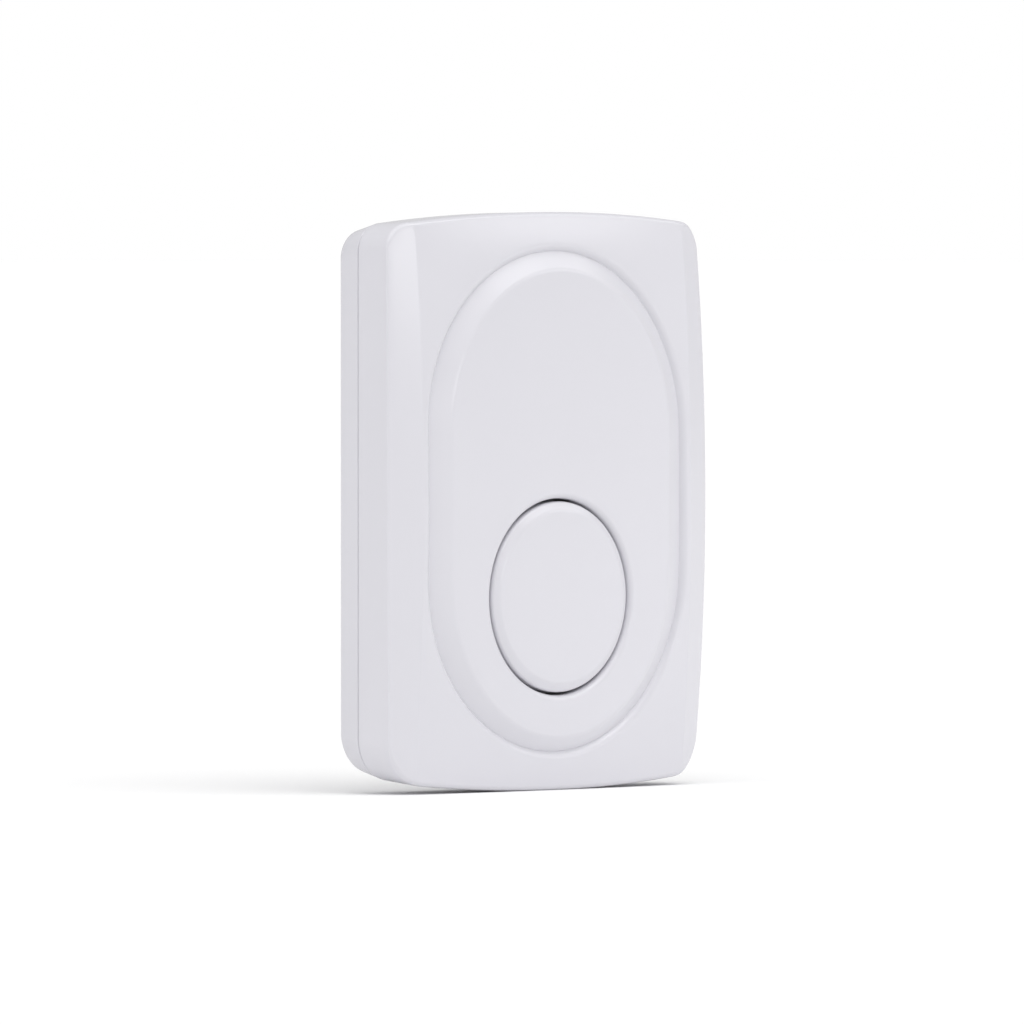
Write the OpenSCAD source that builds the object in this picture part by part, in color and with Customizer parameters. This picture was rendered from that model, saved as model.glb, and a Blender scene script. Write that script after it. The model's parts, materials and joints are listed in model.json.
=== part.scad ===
// Kinetic bell push: a two-shell case, a round button and a see-saw generator that feeds a radio board.
// X is to the right, Z is up and the front looks along -Y. The origin is the middle of the rear face.

/* [Case] */
// Width of the case at its parting line
case_w = 64.7; // [62:0.1:72]
// Height of the case at the middle of its front
case_h = 83; // [81:0.5:100]
// How much lower the top is at the parting line than at the front
top_draft = 0.1; // [0:0.1:0.8]
// How much higher the bottom is at the parting line than at the front
low_draft = 0.6; // [0:0.1:0.8]
// Fall of the top and bottom edges from their middle to their ends
end_sag = 1.9; // [0.4:0.1:3]
// How far the side walls are drawn in at the front's corners
corner_tuck = 1.4; // [0.2:0.1:1.6]
// Radius of the upper corners seen from the front
corner_r = 4.2; // [3.6:0.1:8]
// Radius of the lower corners seen from the front
low_corner_r = 6.2; // [3.6:0.1:8]
// Wall thickness of both shells
wall_t = 2; // [1.6:0.1:2.4]
// Depth of the rear cover, from the wall to the parting line
rear_depth = 4.7; // [3.6:0.1:5]
// Floor thickness of the rear cover
floor_t = 1.8; // [1.4:0.1:2.4]
// How far the rear face is set in from the parting line at its sides
rear_inset = 0.7; // [0.2:0.1:1.2]
// How far the rear face is set in from the parting line at its top and bottom
rear_end_inset = 1.1; // [0.2:0.1:1.2]
// Shadow step between the two shells
seam_step = 0.1; // [0.05:0.05:0.3]
// Depth at which the side chamfers start, at mid height
chamfer_start = 10.9; // [9.5:0.1:12]
// Width of the side chamfers
chamfer_w = 5.2; // [3:0.1:6]
// Depth of the front face, at mid height
face_depth = 13; // [12.4:0.1:15]
// How far the front face falls back at its corners
face_droop = 2.6; // [1:0.1:3]
// How far the front face rolls back at its top and bottom edges
end_roll = 0.6; // [0:0.1:0.8]
// How far the chamfers' outer edge falls back at its ends
chamfer_droop = 1.7; // [0.5:0.1:1.8]
// Length of the lip that locates the front cover on the rear cover
lip_h = 2; // [1.6:0.1:2.6]
// Thickness of the locating lip
lip_t = 1.1; // [0.9:0.1:1.4]
// Clearance between the lip and the front cover
lip_gap = 0.1; // [0.05:0.05:0.2]

/* [Raised panel] */
// Width of the panel across its valley line
panel_w = 50.9; // [48:0.1:51.5]
// Height of the panel across its valley line
panel_h = 71.8; // [69:0.1:73]
// Rise of the panel above the front face
panel_rise = 0.5; // [0.3:0.1:1.2]
// Width of the bevel around the panel
bevel_w = 2.9; // [1.6:0.1:3.4]
// Depth of the valley around the panel
valley_depth = 0.5; // [0.2:0.05:0.7]
// Width of the valley's outer slope
valley_w = 1; // [0.6:0.1:1.4]
// Thickness of the panel
panel_t = 2.1; // [1.7:0.1:2.6]
// Radius of the rounded edge of the button's hole
hole_edge = 0.9; // [0.3:0.1:1.2]

/* [Button] */
// Diameter of the button
button_d = 27.4; // [24:0.1:29]
// Gap between the button and its hole
button_gap = 0.4; // [0.2:0.05:0.6]
// Distance of the button's centre below the middle of the case
button_drop = 13.7; // [12.4:0.1:15]
// How far the button stands proud of the panel
button_proud = 0.2; // [0.1:0.1:0.8]
// Radius of the button's rounded edge
button_round = 1.3; // [0.5:0.1:1.5]
// Thickness of the button's cap
cap_t = 1.6; // [1.5:0.1:2]
// Thickness of the button's skirt
skirt_t = 1.4; // [1:0.1:1.8]
// Thickness of the flange that keeps the button in
flange_t = 1.2; // [0.9:0.1:1.4]
// How far the flange reaches behind the panel
flange_catch = 1.1; // [0.8:0.1:1.4]
// Thickness of the soft ring on the flange
seal_t = 0.45; // [0.3:0.05:0.6]
// Travel of the button
button_travel = 2.4; // [1.6:0.1:2.6]
// Diameter of the post that presses the blade
post_d = 6; // [4:0.5:7]
// Distance of each button spring from the button's centre
spring_reach = 8.5; // [7.4:0.1:8.8]
// Outer diameter of the button springs
spring_d = 4; // [3.4:0.1:4.4]
// Wire diameter of the button springs
spring_wire = 0.45; // [0.3:0.05:0.6]
// Turns of each button spring
spring_turns = 6; // [4:1:8]

/* [Generator] */
// Thickness of the magnet
magnet_t = 2.6; // [2.4:0.1:3]
// Height of the magnet along the see-saw
magnet_h = 6; // [5:0.1:6.6]
// Width of the magnet
magnet_w = 10; // [8:0.1:11]
// Thickness of the pole plates
plate_t = 0.8; // [0.6:0.1:1]
// Half length of the pole plates, from the pin to either end
plate_reach = 7; // [6.9:0.1:7.6]
// Width of the see-saw across its pole plates
plate_w = 13.8; // [13.4:0.1:14.4]
// Thickness of the iron core
core_t = 1.6; // [1.2:0.1:1.7]
// Width of the core's arms and back bar
core_bar = 2.6; // [2:0.1:2.7]
// Distance from the pin to the inner edges of the core's arms
core_inner = 4.2; // [4:0.1:4.3]
// Distance from the middle of the case to the core's back bar
core_side = 14.9; // [14.6:0.1:16]
// Outer diameter of the coil bobbin's flanges
bobbin_d = 7.6; // [6.8:0.1:7.8]
// Thickness of the bobbin's flanges
bobbin_flange = 0.8; // [0.6:0.1:1]
// Diameter of the winding
winding_d = 7; // [6:0.1:7.4]
// Radius of the see-saw's pins
pin_r = 0.75; // [0.6:0.05:0.9]
// Running clearance of the pins in their posts
pin_gap = 0.04; // [0.02:0.01:0.08]
// Thickness of the spring blade
blade_t = 0.4; // [0.3:0.05:0.5]
// Width of the spring blade
blade_w = 7; // [5:0.5:8]
// How far the blade steps back beyond the pole plate
blade_step = 1.2; // [1:0.1:1.4]
// Thickness of the generator frame's base
frame_t = 1; // [0.8:0.1:1.2]
// Room behind the see-saw for its swing
rock_room = 1.3; // [1:0.1:1.5]

/* [Radio board] */
// Width of the board
board_w = 43; // [42:0.5:46]
// Height of the board
board_h = 9.2; // [8.8:0.1:10]
// Thickness of the board
board_t = 1; // [0.8:0.1:1.2]
// Height of the bosses under the board
board_stand = 2.6; // [2:0.1:3]
// Diameter of the antenna coil
antenna_d = 2.6; // [2:0.1:3]
// Wire diameter of the antenna coil
antenna_wire = 0.5; // [0.4:0.05:0.6]
// Turns of the antenna coil
antenna_turns = 9; // [6:1:10]
// Length of the antenna coil
antenna_l = 12; // [8:0.5:13]
// Side of the radio chip
chip_side = 5; // [4:0.1:5.4]
// Thickness of the radio chip
chip_t = 0.9; // [0.6:0.1:1.2]
// Length of the crystal
crystal_l = 3.2; // [2.5:0.1:3.4]
// Width of the rectifier
rectifier_w = 4.4; // [3.6:0.1:4.6]
// Width of each storage capacitor
capacitor_w = 3.2; // [2.6:0.1:3.4]
// Thickness of each storage capacitor
capacitor_t = 1.9; // [1.4:0.1:2.2]
// Length of the smallest chip parts
chip_part_l = 1; // [0.6:0.1:1.2]

/* [Fixings] */
// Spacing of the two wall-screw holes
wall_hole_pitch = 65; // [62:0.5:66]
// Diameter of the wall-screw holes
wall_hole_d = 4.2; // [3.4:0.1:4.6]
// Shank diameter of the inside screws
screw_d = 1.8; // [1.6:0.1:2]
// Head diameter of the inside screws
screw_head_d = 3.6; // [3.2:0.1:4]
// Head height of the inside screws
screw_head_t = 1.2; // [1:0.1:1.4]

/* [Hidden] */
$fn = 64;
eps = 0.02;
// Clearance between pieces that seat in one another
seat_gap = 0.05;
// Clearance between pieces that move past one another
move_gap = 0.3;

half_w = case_w / 2;
half_h = case_h / 2;
seam_top = half_h - top_draft;
seam_low = half_h - low_draft;
face_half = half_w - chamfer_w;
block_top = face_depth + 1;
block_share = (block_top - rear_depth) / (face_depth - rear_depth);
panel_top = face_depth + panel_rise;
ceiling = panel_top - panel_t;
panel_r = panel_w / 2;
panel_straight = panel_h / 2 - panel_r;
face_margin = 2;
face_rows = 16;
face_columns = 10;
arc_steps = 8;

button_z = -button_drop;
button_r = button_d / 2;
hole_r = button_r + button_gap;
flange_r = hole_r + flange_catch;
flange_top = ceiling - seat_gap - seal_t;
flange_bottom = flange_top - flange_t;
cap_top = panel_top + button_proud;
cap_under = cap_top - cap_t;
seal_inset = 0.1;
spring_peg_r = spring_d / 2 - spring_wire - seat_gap;
spring_peg_h = 2;
spring_boss_h = 1;

plate_gap = 0.2;
lever_arm = flange_r + move_gap + blade_step + plate_gap + plate_reach;
pivot_z = button_z + lever_arm;
core_depth = floor_t + frame_t + rock_room + plate_t + magnet_t / 2;
rock_half = button_travel / lever_arm / 2 * 180 / PI;
blade_root = magnet_t / 2 + plate_t;
blade_tip = blade_root - blade_step;
blade_overhang = 1.6;
blade_top_at_rest = core_depth + (blade_tip + blade_t) * cos(rock_half) + lever_arm * sin(rock_half);
post_bottom = blade_top_at_rest + move_gap;
rivet_edge = 1.1;
rivet_x = magnet_w / 2 + rivet_edge;
rivet_z = 2.2;
rivet_r = 0.5;
rivet_head_r = 0.95;
rivet_head_t = 0.45;
rivet_depth = 1.6;
cradle_rim = 0.3;
cradle_room = 0.4;
cradle_w = plate_w + 2 * cradle_rim;
cradle_h = 2 * (core_inner - cradle_room);
pin_wall = 0.4;
pin_inner = magnet_w / 2 + pin_wall;
bearing_room = 0.5;
bearing_inner = cradle_w / 2 + bearing_room;
bearing_t = 2;
bearing_mid = bearing_inner + bearing_t / 2;
bearing_half = 1.8;
bearing_rise = 1.8;
pin_inset = 0.3;
pin_outer = bearing_inner + bearing_t - pin_inset;
core_outer = core_inner + core_bar;
core_short = 1.4;
core_tip = -plate_w / 2 + core_short;
support_t = 2.6;
support_room = 0.6;
support_x = core_side - core_bar / 2 - support_t - support_room;
support_lip = 0.7;
bobbin_room = 0.2;
bobbin_end = core_inner - bobbin_room;
bobbin_core_d = 4.6;
terminal_w = 3.8;
terminal_t = 2.4;
terminal_h = 2.8;
terminal_room = 0.9;
terminal_x = core_side + core_bar / 2 + terminal_room;
terminal_pin_r = 0.35;
terminal_pitch = 1.6;
terminal_edge = (terminal_w - terminal_pitch) / 2;
terminal_pins_x = [terminal_x + terminal_edge, terminal_x + terminal_edge + terminal_pitch];
terminal_sink = 1;
terminal_proud = 0.8;
terminal_pin_end = core_outer + terminal_proud;
frame_margin = 0.8;
frame_left = -bearing_inner - bearing_t - frame_margin;
frame_half = core_outer + 1;
frame_boss_r = 3;
frame_boss_top = 5;
spigot_r = 1.8;
spigot_top = 4;
frame_ear_x = 2.4;
frame_ear_z = 4;
frame_points = [[frame_left - frame_ear_x, pivot_z], [core_side, pivot_z - core_outer - frame_ear_z]];
pilot_depth = 1.2;
pilot_room = 0.2;
screw_play = 0.4;
screw_slot_w = 0.4;

board_room = 1.95;
board_low = pivot_z + core_outer + board_room;
board_mid = board_low + board_h / 2;
board_back = floor_t + board_stand;
board_front = board_back + board_t;
board_boss_r = 2.2;
board_hole_side = 3;
board_hole_end = 2.6;
board_hole_x = board_w / 2 - board_hole_side;
board_hole_z = board_low + board_h - board_hole_end;
board_points = [[-board_hole_x, board_hole_z], [board_hole_x, board_hole_z]];
board_layout_w = 43;
board_spread = board_w / board_layout_w;
antenna_place = 15;
antenna_x = -antenna_place * board_spread;
antenna_rise = 2.7;
chip_place = 1.5;
chip_x = chip_place * board_spread;
chip_drop = 0.6;
part_row = -2.2;
crystal_place = 5;
crystal_x = -crystal_place * board_spread;
crystal_h = crystal_l * 0.78;
crystal_t = crystal_l / 4;
rectifier_place = 11.6;
rectifier_x = rectifier_place * board_spread;
rectifier_h = rectifier_w * 0.86;
rectifier_t = rectifier_w * 0.34;
capacitor_gap = 1;
capacitor_place = 11.5;
capacitor_x = -capacitor_place * board_spread;
capacitor_h = capacitor_w * 0.88;
chip_part_w = chip_part_l * 0.6;
chip_part_t = chip_part_l * 0.45;
chip_part_pitch = 1.8;
chip_part_places = [-2.6, 5.6, 7.6];
chip_part_columns = chip_part_places * board_spread;
lead_r = 0.3;
lead_run = 2.7;
lead_rise = 0.25;

stop_angles = [30, 150, 210, 330];
stop_r = 1.2;
stop_top = flange_bottom - button_travel - move_gap;
stop_ring = (button_r - skirt_t / 2 + flange_r) / 2;
snap_r = 0.4;
snap_l = 8;
snap_z = 16;
snap_depth = rear_depth + lip_h / 2;
gasket_in = 0.7;
gasket_w = 0.7;
gasket_t = 0.6;

// Places a shape drawn in X and Z with its height towards the front
module forward(depth = 0) {
    translate([0, -depth, 0])
        rotate([90, 0, 0])
            children();
}

// Places a shape of the see-saw, drawn about its pin, at its tilt with the button out
module on_rocker() {
    translate([0, -core_depth, pivot_z])
        rotate([-rock_half, 0, 0])
            rotate([90, 0, 0])
                children();
}

// Fall of the top edge at x from the middle
function end_fall(x) = end_sag * pow(x / half_w, 2);

// Quarter of a case outline whose end lies at a height, set in by a distance and drawn in at its corner,
// from the middle of the end to the middle of the side
function quarter(end, corner, inset, tuck, side_steps) =
    let (
        w = half_w - inset - tuck,
        h = end - inset,
        r = max(corner - inset, 0.8),
        slope = atan(2 * end_sag * (w - r) / pow(half_w, 2)),
        join_x = w - r + r * sin(slope),
        centre_z = h - end_fall(join_x) - r * cos(slope)
    )
    concat(
        [for (i = [0:arc_steps]) let (x = join_x * i / arc_steps) [x, h - end_fall(x)]],
        [for (i = [1:arc_steps]) let (a = (90 - slope) * (1 - i / arc_steps))
            [w - r + r * cos(a), centre_z + r * sin(a)]],
        [for (i = [1:side_steps]) let (t = 1 - i / side_steps)
            [w + tuck * (1 - t * t), centre_z * t]]
    );

// Whole case outline, set in by a distance and drawn in at its corners, at a share of the way from the
// parting line to the front
function outline(inset, tuck = 0, side_steps = 1, share = 0) =
    let (
        high = quarter(seam_top + top_draft * share, corner_r, inset, tuck, side_steps),
        low = quarter(seam_low + low_draft * share, low_corner_r, inset, tuck, side_steps),
        n = len(high) - 1
    )
    concat(
        high,
        [for (i = [n - 1:-1:0]) [low[i][0], -low[i][1]]],
        [for (i = [1:n]) [-low[i][0], -low[i][1]]],
        [for (i = [n - 1:-1:1]) [-high[i][0], high[i][1]]]
    );

module case_prism(inset, height) {
    linear_extrude(height)
        polygon(outline(inset));
}

// Block from the straight outline at the parting line to the taller outline that is drawn in at its corners
module drawn_in_block() {
    rear_loop = outline(0, 0, arc_steps);
    front_loop = outline(0, corner_tuck, arc_steps, block_share);
    n = len(rear_loop);
    next = [for (k = [0:n - 1]) (k + 1) % n];
    polyhedron(
        concat(
            [for (p = rear_loop) [p[0], p[1], rear_depth]],
            [for (p = front_loop) [p[0], p[1], block_top]],
            [[0, 0, rear_depth], [0, 0, block_top]]),
        concat(
            [for (k = [0:n - 1]) [n + k, k, n + next[k]]],
            [for (k = [0:n - 1]) [n + next[k], k, next[k]]],
            [for (k = [0:n - 1]) [2 * n, next[k], k]],
            [for (k = [0:n - 1]) [2 * n + 1, n + k, n + next[k]]]));
}

// Depth of the front face, which rolls back at its top and bottom and falls back towards its corners
function face(x, z) =
    let (across = pow(x / face_half, 2), lift = abs(z) / half_h)
    face_depth - face_droop * across * pow(lift, 3) - end_roll * (1 - across) * pow(lift, 8);

// Depth of the chamfers' outer edge
function chamfer_edge(z) = chamfer_start - chamfer_droop * pow(z / half_h, 2);

// Depth of the front surface, chamfers included
function front(x, z) =
    abs(x) <= face_half
        ? face(x, z)
        : face(face_half, z) - (abs(x) - face_half) * (face(face_half, z) - chamfer_edge(z)) / chamfer_w;

// Block under the front surface, sunk by a distance
module face_block(sink, base) {
    edge_x = half_w + face_margin;
    edge_z = half_h + face_margin;
    columns = concat(
        [-edge_x],
        [for (i = [0:face_columns]) face_half * (2 * i / face_columns - 1)],
        [edge_x]);
    rows = [for (j = [0:face_rows]) edge_z * (2 * j / face_rows - 1)];
    nx = len(columns);
    nz = len(rows);
    top = [for (z = rows) for (x = columns) [x, z, front(x, z) - sink]];
    n = nx * nz;
    loop = concat(
        [for (i = [0:nx - 2]) i],
        [for (j = [0:nz - 2]) j * nx + nx - 1],
        [for (i = [nx - 1:-1:1]) (nz - 1) * nx + i],
        [for (j = [nz - 1:-1:1]) j * nx]);
    m = len(loop);
    bottom = [for (a = loop) [top[a][0], top[a][1], base]];
    polyhedron(
        concat(top, bottom, [[0, 0, base]]),
        concat(
            [for (j = [0:nz - 2]) for (i = [0:nx - 2]) [j * nx + i, (j + 1) * nx + i, j * nx + i + 1]],
            [for (j = [0:nz - 2]) for (i = [0:nx - 2])
                [(j + 1) * nx + i, (j + 1) * nx + i + 1, j * nx + i + 1]],
            [for (k = [0:m - 1]) [loop[k], loop[(k + 1) % m], n + (k + 1) % m, n + k]],
            [for (k = [0:m - 1]) [n + k, n + (k + 1) % m, n + m]]));
}

// Upright stadium, grown or shrunk from the panel's valley line
module stadium(grow, height) {
    for (side = [-1, 1])
        translate([0, side * panel_straight, 0])
            cylinder(r = panel_r + grow, h = height);
    translate([-panel_r - grow, -panel_straight, 0])
        cube([2 * (panel_r + grow), 2 * panel_straight, height]);
}

// Stadium with sloping sides, from one growth at the bottom to another at the top
module sloped_stadium(low_grow, high_grow, height) {
    for (side = [-1, 1])
        translate([0, side * panel_straight, 0])
            cylinder(r1 = panel_r + low_grow, r2 = panel_r + high_grow, h = height);
    rotate([90, 0, 0])
        translate([0, 0, -panel_straight])
            linear_extrude(2 * panel_straight)
                polygon([
                    [-panel_r - low_grow, 0],
                    [panel_r + low_grow, 0],
                    [panel_r + high_grow, height],
                    [-panel_r - high_grow, height]]);
}

// Bars on the locating lip, and the channels that they snap into
module snap_bars(radius, length) {
    lip_x = half_w - wall_t - lip_gap;
    for (side = [-1, 1])
        for (z = [-snap_z, snap_z])
            translate([side * lip_x, z - length / 2, snap_depth])
                rotate([-90, 0, 0])
                    cylinder(r = radius, h = length);
}

// Ring that is cut away to round the edge of the button's hole
module hole_rounding() {
    rotate_extrude()
        difference() {
            translate([hole_r - eps, 0])
                square([hole_edge + eps, hole_edge + eps]);
            translate([hole_r + hole_edge, 0])
                circle(hole_edge);
        }
}

module front_cover() {
    color("white")
        forward()
            difference() {
                union() {
                    difference() {
                        intersection() {
                            drawn_in_block();
                            face_block(0, rear_depth - 1);
                        }
                        translate([0, 0, face_depth - valley_depth])
                            sloped_stadium(0, valley_w * 2, 2 * valley_depth);
                    }
                    translate([0, 0, face_depth - valley_depth - eps])
                        sloped_stadium(0, -bevel_w, valley_depth + panel_rise + eps);
                }
                intersection() {
                    translate([0, 0, rear_depth - 1])
                        case_prism(wall_t, face_depth);
                    face_block(wall_t, rear_depth - 2);
                }
                translate([0, 0, rear_depth])
                    stadium(-bevel_w, ceiling - rear_depth);
                translate([0, button_z, rear_depth])
                    cylinder(r = hole_r, h = panel_top);
                translate([0, button_z, panel_top - hole_edge])
                    hole_rounding();
                snap_bars(snap_r + seat_gap, snap_l + 2 * seat_gap);
            }
}

module rear_cover() {
    seam_w = half_w - seam_step;
    seam_h = seam_low - seam_step;
    spread = [seam_w / (seam_w - rear_inset), seam_h / (seam_h - rear_end_inset)];
    inner = wall_t + lip_gap;
    color("white")
        forward()
            difference() {
                union() {
                    difference() {
                        union() {
                            linear_extrude(rear_depth, scale = spread, slices = 1)
                                polygon([for (p = outline(seam_step)) [p[0] / spread[0], p[1] / spread[1]]]);
                            case_prism(inner, rear_depth + lip_h);
                            intersection() {
                                snap_bars(snap_r, snap_l);
                                case_prism(wall_t - snap_r, rear_depth + lip_h);
                            }
                        }
                        translate([0, 0, floor_t])
                            case_prism(inner + lip_t, rear_depth + lip_h);
                        translate([0, 0, rear_depth - gasket_t])
                            gasket_ring(seat_gap, gasket_t + 1);
                    }
                    for (p = frame_points)
                        translate([p[0], p[1], floor_t - eps])
                            cylinder(r = spigot_r, h = spigot_top - floor_t + eps);
                    for (p = board_points)
                        translate([p[0], p[1], floor_t - eps])
                            cylinder(r = board_boss_r, h = board_stand + eps);
                    for (a = stop_angles)
                        translate([stop_ring * cos(a), button_z + stop_ring * sin(a), floor_t - eps])
                            cylinder(r = stop_r, h = stop_top - floor_t + eps);
                    for (side = [-1, 1])
                        translate([side * spring_reach, button_z, floor_t - eps])
                            cylinder(r = spring_peg_r, h = spring_peg_h + eps);
                }
                for (side = [-1, 1])
                    translate([0, side * wall_hole_pitch / 2, -1])
                        cylinder(d = wall_hole_d, h = rear_depth + 1);
                for (p = concat(frame_points, board_points))
                    translate([p[0], p[1], floor_t - pilot_depth])
                        cylinder(d = screw_d + 2 * eps, h = spigot_top + board_stand);
            }
}

// Ring that follows the case outline under the front cover's rim
module gasket_ring(gap, height) {
    linear_extrude(height)
        difference() {
            polygon(outline(gasket_in - gap));
            polygon(outline(gasket_in + gasket_w + gap));
        }
}

module case_gasket() {
    color("dimgray")
        forward(rear_depth - gasket_t)
            gasket_ring(0, gasket_t);
}

// Section of the button's shell to one side of its axis, as radius and depth
function button_section() = concat(
    [[0, cap_under], [button_r - skirt_t, cap_under], [button_r - skirt_t, flange_bottom],
        [flange_r, flange_bottom], [flange_r, flange_top], [button_r, flange_top]],
    [for (i = [0:arc_steps]) let (a = 90 * i / arc_steps)
        [button_r - button_round + button_round * cos(a), cap_top - button_round + button_round * sin(a)]],
    [[0, cap_top]]);

module push_button() {
    color("white")
        forward()
            translate([0, button_z, 0]) {
                rotate_extrude()
                    polygon(button_section());
                translate([0, 0, post_bottom])
                    cylinder(d = post_d, h = cap_under - post_bottom + eps);
                for (side = [-1, 1])
                    translate([side * spring_reach, 0, cap_under - spring_boss_h])
                        cylinder(r = spring_peg_r, h = spring_boss_h + eps);
            }
}

module button_seal() {
    color("gray")
        forward(flange_top)
            translate([0, button_z, 0])
                difference() {
                    cylinder(r = flange_r - seal_inset, h = seal_t);
                    translate([0, 0, -1])
                        cylinder(r = button_r + seat_gap, h = seal_t + 2);
                }
}

// Wire of round section along a list of points, closed at both ends
module wire(points, radius, sides = 6) {
    n = len(points);
    function along(i) = points[min(i + 1, n - 1)] - points[max(i - 1, 0)];
    function unit(v) = v / norm(v);
    function across(i) = unit(cross(unit(along(i)), abs(unit(along(i))[2]) > 0.9 ? [1, 0, 0] : [0, 0, 1]));
    ring = [for (i = [0:n - 1])
        let (u = across(i), v = cross(unit(along(i)), u))
        for (k = [0:sides - 1]) let (a = 360 * k / sides)
            points[i] + radius * (u * cos(a) + v * sin(a))];
    polyhedron(
        ring,
        concat(
            [[for (k = [0:sides - 1]) k]],
            [for (i = [0:n - 2]) for (k = [0:sides - 1]) let (m = (k + 1) % sides)
                [i * sides + k, (i + 1) * sides + k, (i + 1) * sides + m]],
            [for (i = [0:n - 2]) for (k = [0:sides - 1]) let (m = (k + 1) % sides)
                [i * sides + k, (i + 1) * sides + m, i * sides + m]],
            [[for (k = [sides - 1:-1:0]) (n - 1) * sides + k]]));
}

// Points of a helix about the local Z axis
function helix(radius, height, turns, steps = 12) =
    [for (i = [0:turns * steps]) let (a = 360 * i / steps)
        [radius * cos(a), radius * sin(a), height * i / (turns * steps)]];

module button_springs() {
    low = floor_t + spring_wire / 2 + seat_gap;
    high = cap_under - spring_wire / 2 - seat_gap;
    color("silver")
        forward()
            for (side = [-1, 1])
                translate([side * spring_reach, button_z, low])
                    wire(helix((spring_d - spring_wire) / 2, high - low, spring_turns), spring_wire / 2);
}

module generator_frame() {
    base_w = support_x + support_t - frame_left;
    color("steelblue")
        forward()
            difference() {
                union() {
                    translate([frame_left, pivot_z - frame_half, floor_t])
                        cube([base_w, 2 * frame_half, frame_t]);
                    for (side = [-1, 1])
                        translate([side * bearing_mid - bearing_t / 2, pivot_z - bearing_half, floor_t])
                            cube([bearing_t, 2 * bearing_half, core_depth + bearing_rise - floor_t]);
                    for (side = [-1, 1])
                        core_support(side);
                    for (p = frame_points)
                        translate([p[0], p[1], floor_t])
                            cylinder(r = frame_boss_r, h = frame_boss_top - floor_t);
                    translate([frame_points[0][0], pivot_z - frame_boss_r, floor_t])
                        cube([frame_left - frame_points[0][0] + eps, 2 * frame_boss_r, frame_t]);
                    translate([support_x, frame_points[1][1] - frame_boss_r, floor_t])
                        cube([core_side - support_x, core_bar + frame_boss_r + 2, frame_t]);
                }
                for (p = frame_points)
                    translate([p[0], p[1], 0]) {
                        cylinder(r = spigot_r + seat_gap, h = spigot_top + seat_gap);
                        cylinder(d = screw_d + screw_play, h = frame_boss_top + 1);
                    }
                translate([-case_w, pivot_z, core_depth])
                    rotate([0, 90, 0])
                        cylinder(r = pin_r + pin_gap, h = 2 * case_w);
            }
}

// Block and lip of the generator frame that hold one arm of the core
module core_support(side) {
    outer = core_outer + seat_gap + support_lip;
    low = side > 0 ? core_inner : -outer;
    lip = side > 0 ? core_outer + seat_gap : -outer;
    translate([support_x, pivot_z + low, floor_t])
        cube([support_t, outer - core_inner, core_depth - core_t / 2 - floor_t]);
    translate([support_x, pivot_z + lip, floor_t])
        cube([support_t, support_lip, core_depth + core_t / 2 - floor_t]);
}

module iron_core() {
    right = core_side + core_bar / 2;
    color("gray")
        forward(core_depth - core_t / 2)
            translate([0, pivot_z, 0])
                linear_extrude(core_t)
                    difference() {
                        translate([core_tip, -core_outer])
                            square([right - core_tip, 2 * core_outer]);
                        translate([core_tip - 1, -core_inner])
                            square([right - core_bar - core_tip + 1, 2 * core_inner]);
                    }
}

module coil_bobbin() {
    color("ivory")
        translate([core_side, -core_depth, pivot_z])
            difference() {
                union() {
                    translate([0, 0, -bobbin_end])
                        cylinder(d = bobbin_core_d, h = 2 * bobbin_end);
                    for (z = [-bobbin_end, bobbin_end - bobbin_flange])
                        translate([0, 0, z])
                            cylinder(d = bobbin_d, h = bobbin_flange);
                    translate([terminal_x - core_side, -terminal_t / 2, bobbin_end - bobbin_flange])
                        cube([terminal_w, terminal_t, terminal_h]);
                }
                cube([core_bar + 2 * seat_gap, core_t + 2 * seat_gap, 3 * bobbin_end], center = true);
                for (x = terminal_pins_x)
                    translate([x - core_side, 0, bobbin_end - bobbin_flange + terminal_sink])
                        cylinder(r = terminal_pin_r, h = terminal_h);
            }
}

module coil_winding() {
    length = 2 * (bobbin_end - bobbin_flange);
    color("peru")
        translate([core_side, -core_depth, pivot_z - length / 2])
            difference() {
                cylinder(d = winding_d, h = length);
                translate([0, 0, -1])
                    cylinder(d = bobbin_core_d, h = length + 2);
            }
}

module terminal_pins() {
    low = bobbin_end - bobbin_flange + terminal_sink;
    color("gold")
        for (x = terminal_pins_x)
            translate([x, -core_depth, pivot_z + low])
                cylinder(r = terminal_pin_r, h = terminal_pin_end - low);
}

module rocker_cradle() {
    color("dimgray")
        on_rocker()
            difference() {
                cube([cradle_w, cradle_h, magnet_t], center = true);
                cube([magnet_w, magnet_h, magnet_t + 2], center = true);
                rivet_holes();
                translate([-case_w, 0, 0])
                    rotate([0, 90, 0])
                        cylinder(r = pin_r, h = 2 * case_w);
            }
}

module rivet_places() {
    for (x = [-rivet_x, rivet_x])
        for (z = [-rivet_z, rivet_z])
            translate([x, z, 0])
                children();
}

// Holes for the rivets, from their ends in the cradle forward
module rivet_holes() {
    rivet_places()
        translate([0, 0, blade_root + blade_t - rivet_depth])
            cylinder(r = rivet_r, h = rivet_depth + 1);
}

module magnet() {
    color("lightgray")
        on_rocker()
            cube([magnet_w, magnet_h, magnet_t], center = true);
}

module pole_plate(front_side) {
    low = front_side ? magnet_t / 2 : -magnet_t / 2 - plate_t;
    translate([-plate_w / 2, -plate_reach, low])
        cube([plate_w, 2 * plate_reach, plate_t]);
}

module front_pole_plate() {
    color("silver")
        on_rocker()
            difference() {
                pole_plate(true);
                rivet_holes();
            }
}

module rear_pole_plate() {
    color("silver")
        on_rocker()
            pole_plate(false);
}

module rocker_pins() {
    color("lightgray")
        on_rocker()
            for (side = [-1, 1])
                translate([side * (pin_inner + pin_outer) / 2, 0, 0])
                    rotate([0, 90, 0])
                        cylinder(r = pin_r, h = pin_outer - pin_inner, center = true);
}

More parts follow.
